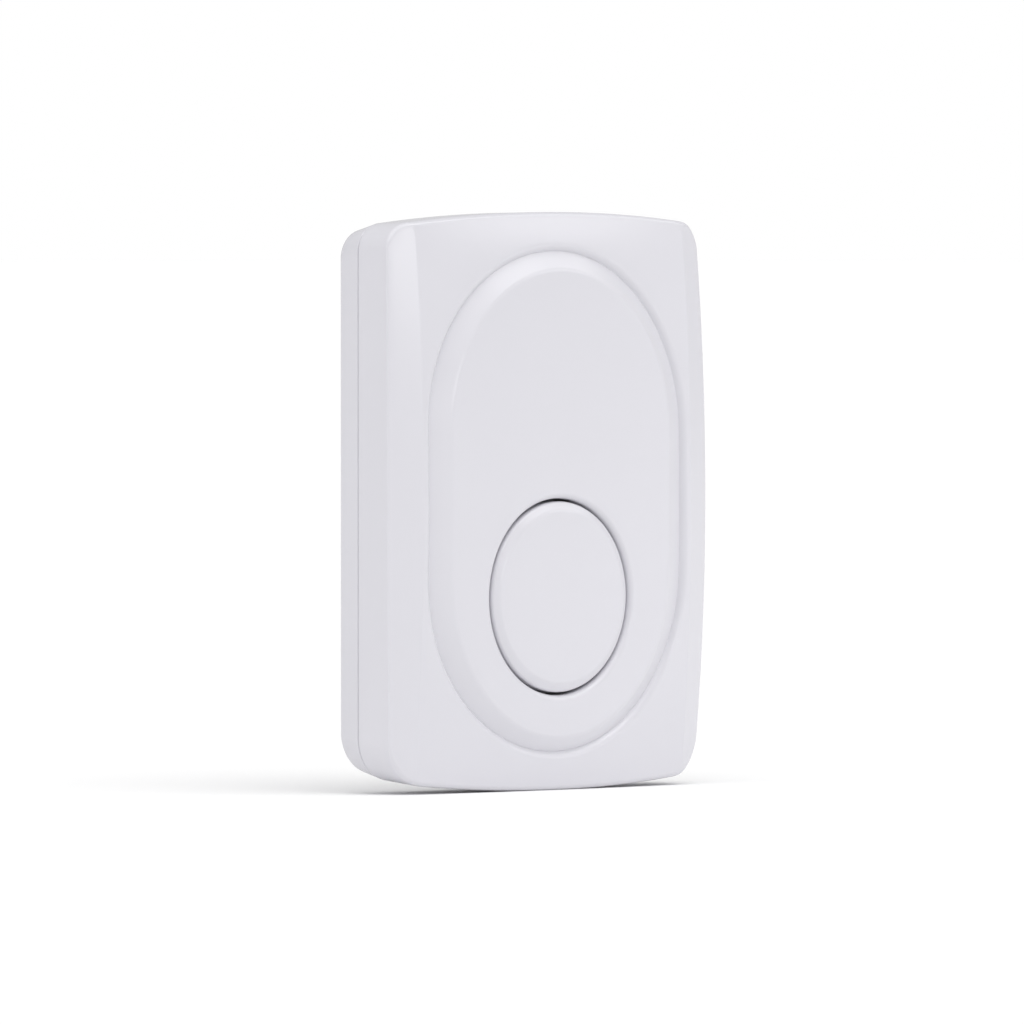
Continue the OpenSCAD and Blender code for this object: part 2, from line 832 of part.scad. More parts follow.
module drive_spring() {
    bend = plate_reach + plate_gap;
    tip = lever_arm + blade_overhang;
    head_h = 2 * (rivet_z + rivet_head_r);
    color("lightgray")
        on_rocker()
            difference() {
                union() {
                    translate([-blade_w / 2, 0, 0])
                        rotate([90, 0, 90])
                            linear_extrude(blade_w)
                                polygon([
                                    [0, blade_root],
                                    [0, blade_root + blade_t],
                                    [-bend - blade_t / 2, blade_root + blade_t],
                                    [-bend - blade_step - blade_t / 2, blade_tip + blade_t],
                                    [-tip, blade_tip + blade_t],
                                    [-tip, blade_tip],
                                    [-bend - blade_step, blade_tip],
                                    [-bend, blade_root]]);
                    translate([-plate_w / 2, -head_h / 2, blade_root])
                        cube([plate_w, head_h, blade_t]);
                }
                rivet_holes();
            }
}

module drive_rivets() {
    color("goldenrod")
        on_rocker()
            rivet_places() {
                translate([0, 0, blade_root + blade_t - rivet_depth])
                    cylinder(r = rivet_r, h = rivet_depth);
                translate([0, 0, blade_root + blade_t])
                    cylinder(r = rivet_head_r, h = rivet_head_t);
            }
}

module circuit_board() {
    color("darkgreen")
        forward(board_back)
            difference() {
                translate([-board_w / 2, board_low, 0])
                    cube([board_w, board_h, board_t]);
                for (p = board_points)
                    translate([p[0], p[1], -1])
                        cylinder(d = screw_d + screw_play, h = board_t + 2);
            }
}

// A block that lies on the board, given by its centre and size
module on_board(x, z, size) {
    forward(board_front)
        translate([x - size[0] / 2, board_mid + z - size[1] / 2, 0])
            cube(size);
}

module radio_chip() {
    color("black")
        on_board(chip_x, -chip_drop, [chip_side, chip_side, chip_t]);
}

module crystal() {
    color("silver")
        on_board(crystal_x, part_row, [crystal_l, crystal_h, crystal_t]);
}

module bridge_rectifier() {
    color("black")
        on_board(rectifier_x, part_row + chip_drop, [rectifier_w, rectifier_h, rectifier_t]);
}

module storage_capacitors() {
    color("orange")
        for (side = [-1, 1])
            on_board(capacitor_x + side * (capacitor_w + capacitor_gap) / 2, part_row,
                [capacitor_w, capacitor_h, capacitor_t]);
}

module chip_parts() {
    color("tan")
        for (x = chip_part_columns)
            for (z = [part_row, part_row + chip_part_pitch])
                on_board(x, z, [chip_part_l, chip_part_w, chip_part_t]);
}

module antenna_coil() {
    turn_r = (antenna_d - antenna_wire) / 2;
    lift = antenna_wire / 2 + turn_r;
    color("peru")
        forward(board_front + lift)
            translate([antenna_x, board_mid + antenna_rise, 0])
                rotate([0, 90, 0])
                    wire(helix(turn_r, antenna_l, antenna_turns, 10), antenna_wire / 2);
}

module coil_leads() {
    start = pivot_z + terminal_pin_end;
    color("firebrick")
        forward()
            for (x = terminal_pins_x)
                wire([
                    [x, start, core_depth],
                    [x, start + lead_run * 0.3, core_depth + lead_rise],
                    [x, start + lead_run * 0.65, core_depth + lead_rise],
                    [x, start + lead_run * 0.9, (core_depth + board_front) / 2],
                    [x, start + lead_run, board_front]], lead_r);
}

// Screw with a flat head whose underside lies at a depth
module screw(seat, length) {
    translate([0, 0, seat - length])
        cylinder(d = screw_d, h = length);
    translate([0, 0, seat])
        difference() {
            cylinder(d = screw_head_d, h = screw_head_t);
            for (turn = [0, 90])
                rotate(turn)
                    translate([-screw_head_d / 3, -screw_slot_w / 2, screw_head_t / 2])
                        cube([screw_head_d * 2 / 3, screw_slot_w, screw_head_t]);
        }
}

module generator_screws() {
    color("silver")
        forward()
            for (p = frame_points)
                translate([p[0], p[1], 0])
                    screw(frame_boss_top, frame_boss_top - floor_t + pilot_depth - pilot_room);
}

module board_screws() {
    color("silver")
        forward()
            for (p = board_points)
                translate([p[0], p[1], 0])
                    screw(board_front, board_front - floor_t + pilot_depth - pilot_room);
}

front_cover();
rear_cover();
push_button();
case_gasket();
button_seal();
button_springs();
generator_frame();
iron_core();
coil_bobbin();
coil_winding();
terminal_pins();
rocker_cradle();
magnet();
front_pole_plate();
rear_pole_plate();
rocker_pins();
drive_spring();
drive_rivets();
circuit_board();
radio_chip();
crystal();
bridge_rectifier();
storage_capacitors();
chip_parts();
antenna_coil();
coil_leads();
generator_screws();
board_screws();
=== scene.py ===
"""Kinetic bell push: moulded shells, button, springs and coils, with finishes, floor and light."""
import json
import math

import bpy
import bmesh
import numpy as np
from bpy.props import FloatProperty, FloatVectorProperty, PointerProperty
from bpy.types import Operator, Panel, PropertyGroup
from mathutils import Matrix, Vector


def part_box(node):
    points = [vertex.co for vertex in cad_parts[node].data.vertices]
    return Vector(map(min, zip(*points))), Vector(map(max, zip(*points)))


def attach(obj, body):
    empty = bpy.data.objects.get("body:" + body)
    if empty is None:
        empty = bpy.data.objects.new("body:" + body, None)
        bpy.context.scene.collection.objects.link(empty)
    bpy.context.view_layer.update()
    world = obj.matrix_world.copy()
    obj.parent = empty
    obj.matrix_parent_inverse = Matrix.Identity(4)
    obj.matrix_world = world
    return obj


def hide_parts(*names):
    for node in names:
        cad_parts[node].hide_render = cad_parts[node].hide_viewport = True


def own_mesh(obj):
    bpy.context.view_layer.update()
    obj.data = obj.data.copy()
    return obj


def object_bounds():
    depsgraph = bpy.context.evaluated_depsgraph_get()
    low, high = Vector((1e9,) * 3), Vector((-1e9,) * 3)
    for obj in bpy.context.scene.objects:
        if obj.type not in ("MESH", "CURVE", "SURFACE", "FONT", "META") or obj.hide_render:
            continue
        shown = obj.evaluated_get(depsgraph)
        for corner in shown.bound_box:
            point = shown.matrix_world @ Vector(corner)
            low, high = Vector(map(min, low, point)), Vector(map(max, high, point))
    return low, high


bl_info = {
    "name": "Kinetic Bell Push",
    "version": (1, 0, 0),
    "blender": (4, 5, 0),
    "location": "View3D > Sidebar > Bell Push",
    "description": "Dresses the bell push with smooth shells, inner metalwork and a white stage",
    "category": "Object",
}

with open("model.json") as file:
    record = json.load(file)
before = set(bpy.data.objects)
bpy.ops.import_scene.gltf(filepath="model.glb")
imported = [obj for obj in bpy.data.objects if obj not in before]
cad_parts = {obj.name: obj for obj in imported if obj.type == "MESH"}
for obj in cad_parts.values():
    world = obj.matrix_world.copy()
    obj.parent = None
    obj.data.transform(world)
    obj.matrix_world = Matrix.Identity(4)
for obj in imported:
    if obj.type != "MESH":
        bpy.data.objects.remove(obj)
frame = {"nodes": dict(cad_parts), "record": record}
CAD_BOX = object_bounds()
MM = 0.001
X, Y, Z = range(3)

# Steps around one quarter of the case outline, and the smallest radius of its corner
END_STEPS = 30
CORNER_STEPS = 22
SIDE_STEPS = 36
LEAST_CORNER = 0.8 * MM

# Steps across the front cover, in the order that its rings run
RIM_STEPS = 4
WALL_STEPS = 6
ARC_STEPS = 8
STRIP_STEPS = 4
CREASE_STEPS = 8
FACE_STEPS = 10
VALLEY_STEPS = 10
BEVEL_STEPS = 8
LEVEL_STEPS = 10
BORE_STEPS = 2
UNDER_STEPS = 3
BACK_STEPS = 4

# Gathering of the rings along the crease: its reach in half widths of the crease, and bounds of
# its start, end and length as shares of the way from the front edge to the valley
CREASE_REACH = 1.2
FIRST_SHARES = (0.04, 0.8)
LAST_SHARE = 0.9
LEAST_GATHER = 0.05
LEAST_RUN = 1 * MM

# Steps of the other pieces
SEAM_STEPS = 5
REAR_ARC_STEPS = 7
CHORD_STEPS = 40
FLOOR_STEPS = 6
BUTTON_FLAT_STEPS = 7
BUTTON_BEVEL_STEPS = 12
BUTTON_SIDES = 192
LEAD_STEPS = 23
TURN_STEPS = 8
WINDING_SIDES = 72

# Meshes: distance at which points merge, and angle from which an edge is sharp
MERGE = 0.0005 * MM
SHARP_ANGLE = math.radians(32)

# Power of the end roll, counts of turns, and places of the stops around the button in degrees
END_ROLL_POWER = 10
SPRING_TURNS = 7
SPRING_CLOSED = 0.9
ANTENNA_TURNS = 9
STOP_ANGLES = (30, 150, 210, 330)

# Sockets of the colour mix node
MIX_SHARE, MIX_A, MIX_B, MIX_RESULT = 0, 6, 7, 2

# Stage, in metres where the name does not say otherwise
FLOOR_REACH = 12.0
PANEL_DISTANCE = 3.0
SENSOR_MM = 36
CLIP_END = 60
KEY_PLACE = (-0.18, -0.38, 0.91)

# Name, power in watts, place, width and height of each small lamp that lights the case from low
# beside it without showing in its gloss
FILL_LAMPS = (
    ("right fill", 0.092, (0.20, -0.20, -0.015), 0.12, 0.05),
    ("left fill", 0.053, (-0.25, 0.03, -0.02), 0.12, 0.04),
)

# Name, brightness, azimuths and elevations in degrees of each panel that shows in the gloss: on
# the left strip, on the face, and on the bevel's top, upper right and upper left
GLOSS_PANELS = (
    ("strip panel", 3.9, (3, 16), (4.5, 13)),
    ("face panel", 1.9, (36, 54), (7.5, 22)),
    ("bevel panel", 2.15, (18, 55), (32, 60)),
    ("right panel", 1.27, (55, 78), (22, 50)),
    ("left panel", 0.4, (-10, 16), (20, 45)),
)


def span(node, axis):
    """Lowest and highest place of a CAD node along one axis."""
    low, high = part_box(node)
    return low[axis], high[axis]


def number(value, description, **options):
    """A plain number property."""
    return FloatProperty(description=description, default=value, **options)


def length(millimetres, description):
    """A length property in metres with its default given in millimetres."""
    return number(millimetres * MM, description, unit="LENGTH", precision=5)


def angle(degrees, description):
    """An angle property with its default given in degrees."""
    return number(math.radians(degrees), description, subtype="ANGLE")


def srgb(code):
    """Turns a sRGB hex colour to linear values."""
    parts = np.array([int(code[i:i + 2], 16) for i in (1, 3, 5)]) / 255
    linear = np.where(parts <= 0.04045, parts / 12.92, ((parts + 0.055) / 1.055) ** 2.4)
    return tuple(float(v) for v in linear)


def colour(code, description):
    """A colour property with its default given as a sRGB hex value."""
    return FloatVectorProperty(description=description, default=srgb(code), subtype="COLOR",
                               size=3, min=0, max=1)


# Sizes of the CAD solids in millimetres, with depths counted forward from the rear face
FRONT_WIDTH = np.ptp(span("front_cover", X)) / MM
FRONT_HEIGHT = np.ptp(span("front_cover", Z)) / MM
PARTING = -span("front_cover", Y)[1] / MM
PANEL_TOP = -span("front_cover", Y)[0] / MM
LIP_TOP = -span("rear_cover", Y)[0] / MM
FLANGE_R = span("push_button", X)[1] / MM
BUTTON_Z = sum(span("push_button", Z)) / 2 / MM
CAP_TOP = -span("push_button", Y)[0] / MM
POST_END = -span("push_button", Y)[1] / MM
FLANGE_TOP = -span("button_seal", Y)[1] / MM
GASKET_REAR = -span("case_gasket", Y)[1] / MM


class CaseSizes(PropertyGroup):
    """Sizes of the two shells."""
    width: length(FRONT_WIDTH, "Width of the case at its parting line")
    height: length(FRONT_HEIGHT, "Height of the case at the middle of its front")
    draft: length(0.1, "How much lower the top is at the parting line than in front")
    low_draft: length(0.6, "How much higher the bottom is at the parting line than in front")
    end_sag: length(1.9, "Fall of the top and bottom edges at their ends")
    tuck: length(0.75, "How far the side walls are drawn in at the front's upper corners")
    low_tuck: length(1.0, "How far the side walls are drawn in at the front's lower corners")
    corner: length(4.2, "Radius of the upper corners seen from the front")
    low_corner: length(6.2, "Radius of the lower corners seen from the front")
    wall: length(2.0, "Wall thickness of the shells")
    parting: length(PARTING, "Depth of the line between the two shells")
    face_depth: length(13.0, "Depth of the front face at mid height")
    face_droop: length(2.1, "How far the face falls back at its corners")
    end_roll: length(1.0, "How far the face rolls back at its top and bottom edges")
    strip_width: length(5.2, "Width of the sloping strips along the sides")
    strip_start: length(10.9, "Depth at which the strips start at mid height")
    strip_droop: length(1.7, "How far the strips' outer edge falls back at its ends")
    crease: length(0.15, "Half width of the rounding between face and strips")
    edge_mid: length(0.7, "Radius of the top and bottom edges at their middle")
    edge_corner: length(0.6, "Radius of the front edge at the corners")
    edge_side: length(0.25, "Radius of the front edge along the sides")
    rim: length(0.12, "Radius of the front cover's rim at the parting line")
    gap: length(0.2, "Height of the gap between the two shells")
    gap_depth: length(0.6, "How far the gap reaches in from the side")


class PanelSizes(PropertyGroup):
    """Sizes of the raised panel."""
    width: length(50.9, "Width of the panel across its valley line")
    height: length(71.8, "Height of the panel across its valley line")
    top: length(PANEL_TOP, "Depth of the panel's flat")
    bevel_side: length(3.5, "Width of the bevel at the panel's sides")
    bevel_top: length(2.65, "Width of the bevel at the panel's top")
    bevel_bottom: length(2.0, "Width of the bevel at the panel's bottom")
    bevel_crease: length(0.4, "Half width of the rounding at the bevel's top")
    valley: length(1.2, "Width of the valley's outer slope")
    valley_depth: length(0.72, "Depth of the valley at the panel's foot")
    thickness: length(2.1, "Thickness of the panel")
    hole_gap: length(0.4, "Gap between the button and its hole")
    hole_edge: length(0.9, "Radius of the hole's rounded edge")


class RearSizes(PropertyGroup):
    """Sizes of the rear cover."""
    step: length(0.1, "How far the rear cover stands behind the front cover's side")
    inset: length(0.7, "How far the rear face is set in at its sides")
    end_inset: length(1.1, "How far the rear face is set in at its top and bottom")
    edge: length(1.0, "Radius of the edge around the rear face")
    seam_edge: length(0.25, "Radius of the edge at the parting line")
    floor: length(1.8, "Thickness of the floor")
    lip_top: length(LIP_TOP, "Depth that the locating lip reaches")
    lip: length(1.1, "Thickness of the locating lip")
    lip_gap: length(0.1, "Clearance between the lip and the front cover")
    groove_in: length(1.45, "Inset of the gasket groove's inner wall")
    groove_out: length(0.65, "Inset of the gasket groove's outer wall")
    hole_pitch: length(65.0, "Spacing of the wall-screw holes")
    hole: length(4.2, "Diameter of the wall-screw holes")
    hole_edge: length(0.3, "Size of the chamfer around the wall-screw holes")


class PegSizes(PropertyGroup):
    """Sizes of the pegs on the rear cover's floor."""
    root: length(0.2, "How far pegs and bosses reach into the wall below")
    screw_head: length(1.8, "Radius of the heads of the inside screws")
    generator: length(1.8, "Radius of the pegs under the generator's screws")
    generator_top: length(4.0, "Depth that the generator's pegs reach")
    board: length(2.2, "Radius of the pegs under the board's screws")
    board_top: length(4.4, "Depth that the board's pegs reach")
    spring_height: length(2.0, "Height of the pegs inside the springs")
    play: length(0.05, "Clearance around a peg or boss inside a spring")
    stop: length(1.2, "Radius of the stops under the button's flange")
    stop_gap: length(2.7, "Gap between the flange and its stops at rest")


class ButtonSizes(PropertyGroup):
    """Sizes of the button."""
    diameter: length(27.4, "Diameter of the button")
    centre: length(BUTTON_Z, "Height of the button's centre from the middle of the case")
    top: length(CAP_TOP, "Depth of the button's flat")
    bevel: length(1.3, "Width of the bevel around the button's flat")
    bevel_height: length(0.6, "Height of the bevel around the button's flat")
    edge: length(0.6, "Radius of the rounding outside the bevel, and width of the one inside")
    cap: length(1.6, "Thickness of the cap")
    skirt: length(1.4, "Thickness of the skirt")
    flange: length(FLANGE_R, "Radius of the flange that keeps the button in")
    flange_top: length(FLANGE_TOP, "Depth of the flange's front")
    flange_thickness: length(1.2, "Thickness of the flange")
    post: length(6.0, "Diameter of the post that presses the blade")
    post_end: length(POST_END, "Depth that the post reaches back to")
    boss: length(1.0, "Height of the bosses that hold the springs")
    spring_reach: length(8.5, "Distance of each spring from the button's centre")
    spring: length(4.0, "Outer diameter of the springs")
    spring_wire: length(0.45, "Wire diameter of the springs")


class WireSizes(PropertyGroup):
    """Sizes of the copper wires and the leads."""
    antenna: length(0.25, "Radius of the antenna's wire")
    lead: length(0.3, "Radius of the leads over their insulation")
    lead_bow: length(0.2, "How far the leads bow out of their line")
    winding: length(0.35, "Spacing of the winding's turns")
    winding_bore: length(2.3, "Inner radius of the winding")


class Colours(PropertyGroup):
    """Colours of the visible plastics and the floor."""
    abs_white: colour("#D4D3D9", "Colour of the shells and the button")
    abs_shade: colour("#D2D1D7", "Second tone of the shells and the button")
    floor: colour("#FBFBFB", "Colour of the floor")


class StageSizes(PropertyGroup):
    """Viewing angle of the camera and strength of the broad lights."""
    azimuth: angle(-45, "Turn of the camera from straight in front")
    elevation: angle(1.2, "Height of the camera above the horizon")
    distance: length(2200, "Distance of the camera")
    lens: number(538.9, "Focal length", unit="CAMERA")
    aim_depth: length(10, "Depth in the case that the camera is aimed at")
    aim_right: length(-4.6, "How far the image centre lies to the right of the case")
    aim_up: length(-1.58, "How far the image centre lies above the middle of the case")
    sky: number(0.6, "Strength of the light from all round")
    key_strength: number(1.68, "Strength of the broad soft light above the front")
    key_spread: angle(70, "Angle that the key light comes from")


class BellPush(PropertyGroup):
    """All the settings of the bell push."""
    case: PointerProperty(type=CaseSizes)
    panel: PointerProperty(type=PanelSizes)
    rear: PointerProperty(type=RearSizes)
    pegs: PointerProperty(type=PegSizes)
    button: PointerProperty(type=ButtonSizes)
    wires: PointerProperty(type=WireSizes)
    colours: PointerProperty(type=Colours)
    stage: PointerProperty(type=StageSizes)


def settings():
    """The scene's bell push settings."""
    return bpy.context.scene.bell_push


def add(tree, kind, values=None, links=None, **attributes):
    """Adds one shader node with its attributes, its input values and its links, and returns it."""
    node = tree.nodes.new(kind)
    for name, value in attributes.items():
        setattr(node, name, value)
    for name, value in (values or {}).items():
        node.inputs[name].default_value = value
    for name, socket in (links or {}).items():
        tree.links.new(socket, node.inputs[name])
    return node


def two_tone(name, tones, patch_mm, rough, grain_mm, relief_mm, stretch=(1, 1, 1), **shader):
    """A finish whose colour drifts between two tones and whose sheen and relief follow a grain.

    patch_mm is the size of the drifting patches, rough the lowest and highest roughness, grain_mm
    the size of the grain, relief_mm its height, and stretch the grain's draw along X, Y and Z. A
    finish that is already there is used again.
    """
    known = bpy.data.materials.get(name)
    if known:
        return known
    material = bpy.data.materials.new(name)
    material.use_nodes = True
    tree = material.node_tree
    tree.nodes.clear()
    place = add(tree, "ShaderNodeTexCoord").outputs["Object"]
    drawn = add(tree, "ShaderNodeMapping", {"Scale": stretch}, {"Vector": place}).outputs["Vector"]
    patches = add(tree, "ShaderNodeTexNoise", {"Scale": 1 / (patch_mm * MM), "Detail": 2.0},
                  {"Vector": place}).outputs["Fac"]
    grain = add(tree, "ShaderNodeTexNoise", {"Scale": 1 / (grain_mm * MM), "Detail": 3.0},
                {"Vector": drawn}).outputs["Fac"]
    tone = add(tree, "ShaderNodeMix", {MIX_A: (*tones[0], 1), MIX_B: (*tones[1], 1)},
               {MIX_SHARE: patches}, data_type="RGBA")
    sheen = add(tree, "ShaderNodeMapRange", {"To Min": rough[0], "To Max": rough[1]},
                {"Value": grain})
    relief = add(tree, "ShaderNodeBump", {"Strength": 1.0, "Distance": relief_mm * MM},
                 {"Height": grain})
    values = {key.replace("_", " "): value for key, value in shader.items()}
    body = add(tree, "ShaderNodeBsdfPrincipled", values, {
        "Base Color": tone.outputs[MIX_RESULT],
        "Roughness": sheen.outputs["Result"],
        "Normal": relief.outputs["Normal"],
    })
    add(tree, "ShaderNodeOutputMaterial", links={"Surface": body.outputs["BSDF"]})
    return material


def white_abs():
    """Gloss ABS from a polished mould: almost even white, a sheen that softens reflections."""
    colours = settings().colours
    return two_tone("gloss moulded white ABS", (colours.abs_white, colours.abs_shade), patch_mm=18,
                    rough=(0.18, 0.24), grain_mm=1.2, relief_mm=0.0015, IOR=1.53)


def look(name, tone_a, tone_b, patch_mm, rough, grain_mm, relief_mm, **more):
    """What two_tone needs for a finish, with the two tones given as sRGB hex values."""
    return dict(name=name, tones=(srgb(tone_a), srgb(tone_b)), patch_mm=patch_mm, rough=rough,
                grain_mm=grain_mm, relief_mm=relief_mm, **more)


# Finish of each record slot inside, with what the real material gives the eye: name, two tones,
# patch size, lowest and highest roughness, grain size and height of the relief
FINISHES = {
    # Near black, dull, with a faint bloom
    "seal_rubber": look("moulded nitrile rubber", "#2B2B2D", "#353537", 4, (0.6, 0.75), 0.5, 0.01),
    # Dull blue with a fine eroded texture
    "frame_plastic": look("moulded blue PBT", "#2A4A78", "#304F80", 5, (0.42, 0.55), 0.4, 0.008),
    # Dark grey with rolling lines
    "soft_iron": look("stamped soft iron", "#86878A", "#727376", 3, (0.35, 0.5), 0.3, 0.006,
                      stretch=(0.2, 1, 1), Metallic=1.0),
    # Milky cream, slightly waxy
    "bobbin_plastic": look("moulded natural nylon", "#EDE7D8", "#E5DECB", 4, (0.35, 0.45), 0.5,
                           0.005),
    # Warm red-brown metal under a clear varnish
    "copper_wire": look("enamelled copper wire", "#B4653A", "#9C5230", 3, (0.22, 0.32), 0.3, 0.003,
                        Metallic=1.0, Coat_Weight=0.6),
    # Warm yellow metal with a clean sheen
    "brass_pin": look("drawn brass", "#CFA860", "#BF9850", 2, (0.2, 0.3), 0.3, 0.003, Metallic=1.0),
    # Deep black with a low sheen
    "cradle_plastic": look("moulded black acetal", "#1E1E20", "#262628", 4, (0.35, 0.45), 0.4,
                           0.006),
    # Bright, slightly yellow mirror with faint waviness
    "magnet_nickel": look("bright nickel plate", "#C9C4BA", "#BDB8AE", 3, (0.1, 0.18), 0.6, 0.003,
                          Metallic=1.0),
    # Pale grey with rolling lines
    "pole_steel": look("zinc plated stamped steel", "#B4B8BC", "#A2A7AC", 3, (0.28, 0.4), 0.3,
                       0.004, stretch=(0.2, 1, 1), Metallic=1.0),
    # Bright with a fine grain
    "pin_steel": look("ground steel", "#C3C4C6", "#B2B3B6", 2, (0.15, 0.25), 0.2, 0.002,
                      Metallic=1.0),
    # Cool grey with a fine grain and a medium sheen
    "spring_steel": look("drawn spring steel", "#B9BABD", "#A3A4A8", 2, (0.24, 0.36), 0.4, 0.004,
                         Metallic=1.0),
    # Glossy green, slightly uneven
    "board_laminate": look("solder-masked laminate", "#1C5B36", "#256B42", 2, (0.25, 0.4), 0.5,
                           0.006),
    # Dull black with a fine eroded texture
    "chip_plastic": look("moulded black epoxy", "#202022", "#2A2A2C", 1.5, (0.5, 0.65), 0.2, 0.006),
    # Warm orange, smooth
    "capacitor_plastic": look("moulded amber epoxy", "#D58A22", "#C67C1A", 1.5, (0.35, 0.45), 0.3,
                              0.004),
    # Dull tan
    "chip_ceramic": look("fired ceramic", "#B49A78", "#A68B69", 0.6, (0.4, 0.55), 0.2, 0.004),
    # Soft red with a faint even sheen
    "lead_plastic": look("extruded red PVC", "#B3241E", "#9E1C18", 2, (0.4, 0.5), 0.3, 0.003),
    # Pale grey with a soft sheen
    "screw_steel": look("zinc plated screw steel", "#BABDBF", "#A9ADB0", 1.5, (0.25, 0.38), 0.3,
                        0.004, Metallic=1.0),
}


def finish(slot):
    """The finish of one record slot: white ABS for what shows outside."""
    return two_tone(**FINISHES[slot]) if slot in FINISHES else white_abs()


def shares(steps):
    """Equal shares above 0, up to 1."""
    return np.linspace(0, 1, steps + 1)[1:]


def quarter_arc(steps):
    """Pairs along a quarter circle: 1 less the sine, and 1 less the cosine."""
    turn = np.linspace(0, math.pi / 2, steps + 1)
    return list(zip(1 - np.sin(turn), 1 - np.cos(turn)))


def ramp(u, half):
    """0 below -half, u above half, and a parabola tangent to both in between."""
    return np.where(u < -half, 0, np.where(u > half, u, (u + half) ** 2 / (4 * half)))


def placed(flat, depth):
    """Points in X and Z and their depths, as points in X, Y and Z."""
    depth = np.broadcast_to(depth, flat.shape[:-1])
    return np.stack([flat[..., 0], -depth, flat[..., 1]], -1)


def between(first, last, steps):
    """Rings from one ring of points to another in equal steps, without the first."""
    return first + (last - first) * shares(steps)[:, None, None]


def unit(vectors):
    """Rows of vectors, each divided by its length."""
    return vectors / np.linalg.norm(vectors, axis=1, keepdims=True)


def rings_mesh(name, parts):
    """Makes one mesh object of closed surfaces.

    Each part is an array of rings of points, closed around its second index, and a flag that says
    whether its last ring joins its first. Points that coincide are merged, which closes poles and
    seams, and faces turn outwards.
    """
    points, faces, start = [], [], 0
    for rings, joined in parts:
        count, around = rings.shape[:2]
        row = np.arange(count if joined else count - 1)[:, None]
        column = np.arange(around)[None, :]
        above, beside = (row + 1) % count, (column + 1) % around
        quads = np.stack([row * around + column, row * around + beside, above * around + beside,
                          above * around + column], -1)
        points.append(rings.reshape(-1, 3))
        faces.append(quads.reshape(-1, 4) + start)
        start += count * around
    mesh = bpy.data.meshes.new(name)
    mesh.from_pydata(np.concatenate(points), [], np.concatenate(faces).tolist())
    work = bmesh.new()
    work.from_mesh(mesh)
    bmesh.ops.remove_doubles(work, verts=work.verts, dist=MERGE)
    bmesh.ops.recalc_face_normals(work, faces=work.faces)
    open_edges = sum(1 for edge in work.edges if not edge.is_manifold)
    work.to_mesh(mesh)
    work.free()
    if open_edges:
        raise RuntimeError(f"{name} has {open_edges} open edges")
    mesh.shade_smooth()
    mesh.set_sharp_from_angle(angle=SHARP_ANGLE)
    piece = bpy.data.objects.new(name, mesh)
    bpy.context.scene.collection.objects.link(piece)
    return piece


def finish_piece(piece, body, slot, *nodes):
    """Gives a piece the finish of its record slot and its body, and hides the CAD nodes that it
    stands for.
    """
    piece.data.materials.append(finish(slot))
    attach(piece, body)
    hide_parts(*nodes)


def revolved(profile, centre, sides, axis="Y"):
    """Surface of revolution: a profile of radius and height carried round an axis."""
    turn = np.linspace(0, 2 * math.pi, sides, endpoint=False)
    radius, height = profile[:, 0, None], profile[:, 1, None]
    first, second = radius * np.cos(turn), radius * np.sin(turn)
    along = np.broadcast_to(height, first.shape)
    order = {"Y": (first, along, second), "Z": (first, second, along)}[axis]
    return np.stack(order, -1) + np.array(centre)


def tube(path, radius, up, sides=12):
    """Round wire along a path, as a part of rings: circles square to it, closed at both ends."""
    along = unit(np.gradient(path, axis=0))
    first = unit(np.cross(along, up))
    second = np.cross(along, first)
    turn = np.linspace(0, 2 * math.pi, sides, endpoint=False)[:, None]
    ring = first[:, None] * np.cos(turn) + second[:, None] * np.sin(turn)
    rings = path[:, None] + radius * ring
    ends = np.broadcast_to(path[[0, -1], None], (2, sides, 3))
    return np.concatenate([ends[:1], rings, ends[1:]]), False


def peg(x, z, radius, low, high, sides=32):
    """Closed round peg along the depth, as a part of rings: a profile carried round its axis."""
    profile = np.array([[0, -low], [radius, -low], [radius, -high], [0, -high]])
    return revolved(profile, (x, 0, z), sides), False


def helix(radius, low, high, turns, closed, steps=40):
    """Points of a helix about the local Z axis whose end turns lie closed, as X, Y and Z."""
    turn = np.linspace(0, 1, int(turns * steps) + 1) * turns
    rise = np.clip((turn - closed) / (turns - 2 * closed), 0, 1)
    round_axis = 2 * math.pi * turn
    return np.stack([radius * np.cos(round_axis), radius * np.sin(round_axis),
                     low + (high - low) * rise], 1)


def case_quarter(case, draft, corner, inset, tuck):
    """Quarter of the case outline as X and Z, from the end's middle to the side's middle.

    The end is a parabola that falls by end_sag, an arc tangent to it turns the corner, and the
    side is a parabola that is drawn in by tuck at the corner. The end lies below its height at the
    front by draft.
    """
    half_w = case.width / 2 - inset - tuck
    half_h = case.height / 2 - draft - inset
    curve = case.end_sag / (case.width / 2) ** 2
    slope = math.atan(2 * curve * (half_w - corner))
    join = half_w - corner + corner * math.sin(slope)
    centre = half_h - curve * join ** 2 - corner * math.cos(slope)
    end = np.linspace(0, join, END_STEPS + 1)
    turn = np.linspace(math.pi / 2 - slope, 0, CORNER_STEPS + 1)[1:]
    rise = np.linspace(1, 0, SIDE_STEPS + 1)[1:]
    return np.concatenate([
        np.stack([end, half_h - curve * end ** 2], 1),
        np.stack([half_w - corner + corner * np.cos(turn), centre + corner * np.sin(turn)], 1),
        np.stack([half_w + tuck * (1 - rise ** 2), centre * rise], 1),
    ])


def case_outline(case, inset, front=0):
    """Case outline seen from the front, set in by a distance, clockwise from the top middle.

    An upper and a lower quarter make the right half, and the left half mirrors it. Front is 0 at
    the parting line and 1 at the front, where the draft has run out and the sides are drawn in at
    the corners.
    """
    high_corner = max(case.corner - inset, LEAST_CORNER)
    low_corner = max(case.low_corner - inset, LEAST_CORNER)
    upper = case_quarter(case, case.draft * (1 - front), high_corner, inset, case.tuck * front)
    lower = case_quarter(case, case.low_draft * (1 - front), low_corner, inset,
                         case.low_tuck * front)
    right = np.concatenate([upper, lower[-2::-1] * [1, -1]])
    return np.concatenate([right, right[-2:0:-1] * [-1, 1]])


